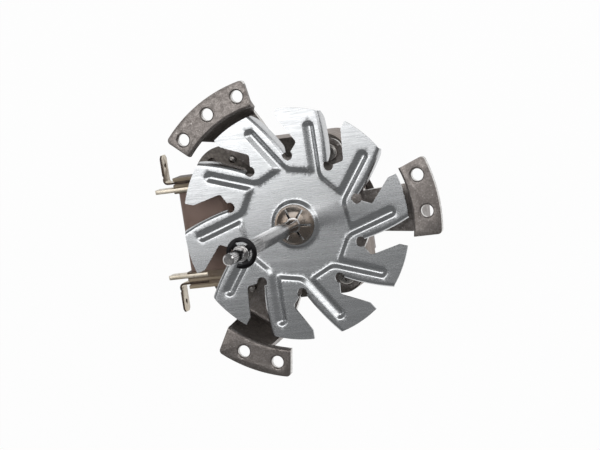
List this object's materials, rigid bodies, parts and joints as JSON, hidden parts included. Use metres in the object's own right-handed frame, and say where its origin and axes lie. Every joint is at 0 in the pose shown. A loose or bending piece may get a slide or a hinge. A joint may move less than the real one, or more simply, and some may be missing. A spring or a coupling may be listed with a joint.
{
  "type": "oven fan motor",
  "caption": "Shaded-pole motor on a three-armed mounting bracket with a stamped cooling fan, a long output shaft and blade terminals at the coil.",
  "frame": {"origin": "on the shaft axis in the front face of the three mounting feet", "axes": "+Z along the shaft towards its tip, -X towards the coil, +X along the arm that has no coil beside it"},
  "size_m": [0.1216, 0.1182, 0.143],
  "materials": {
    "bracket_steel": "rolled zinc-coated sheet, matte, speckled",
    "lamination": "stacked electrical sheet, oiled",
    "copper": "bare drawn copper",
    "bright_steel": "zinc-plated, semi-gloss",
    "bronze": "sintered bronze, matte",
    "felt": "oiled wool felt",
    "spring_steel": "phosphated black spring steel",
    "spring_steel_tan": "tempered spring steel, brown tint, gloss",
    "shaft_steel": "ground and polished",
    "aluminium": "die cast",
    "washer_plastic": "moulded, natural",
    "fan_sheet": "satin rolled sheet with fine grain",
    "bobbin_plastic": "moulded brown nylon, slightly translucent",
    "tape": "wound brown insulating tape",
    "tin": "tinned brass, satin"
  },
  "bodies": {
    "frame": {"mounting_bracket": "bracket_steel", "stator_core": "lamination", "coil_core_leg": "lamination", "shading_rings": "copper", "core_rivets": "bright_steel", "frame_screws": "bright_steel", "frame_nuts": "bright_steel", "front_bearing_cup": "bracket_steel", "front_cup_rivets": "bright_steel", "front_bearing": "bronze", "front_felt_ring": "felt", "front_bearing_clip": "spring_steel", "rear_bracket": "bracket_steel", "rear_bearing": "bronze", "rear_felt_ring": "felt", "rear_bearing_clip": "spring_steel", "coil_bobbin": "bobbin_plastic", "coil_winding": "copper", "coil_tape": "tape", "terminal_straight_upper": "tin", "terminal_straight_lower": "tin", "terminal_bent_upper": "tin", "terminal_bent_lower": "tin"},
    "rotor": {"shaft": "shaft_steel", "rotor_core": "lamination", "rotor_cage": "aluminium", "thrust_washers": "washer_plastic", "cooling_fan": "fan_sheet", "fan_collar": "bronze", "fan_washer": "spring_steel_tan", "impeller_clip": "spring_steel"}
  },
  "joints": [
    {"name": "rotor_spin", "type": "hinge", "parent": "frame", "child": "rotor", "pos_m": [0, 0, 0], "axis": [0, 0, 1], "continuous": true}
  ]
}
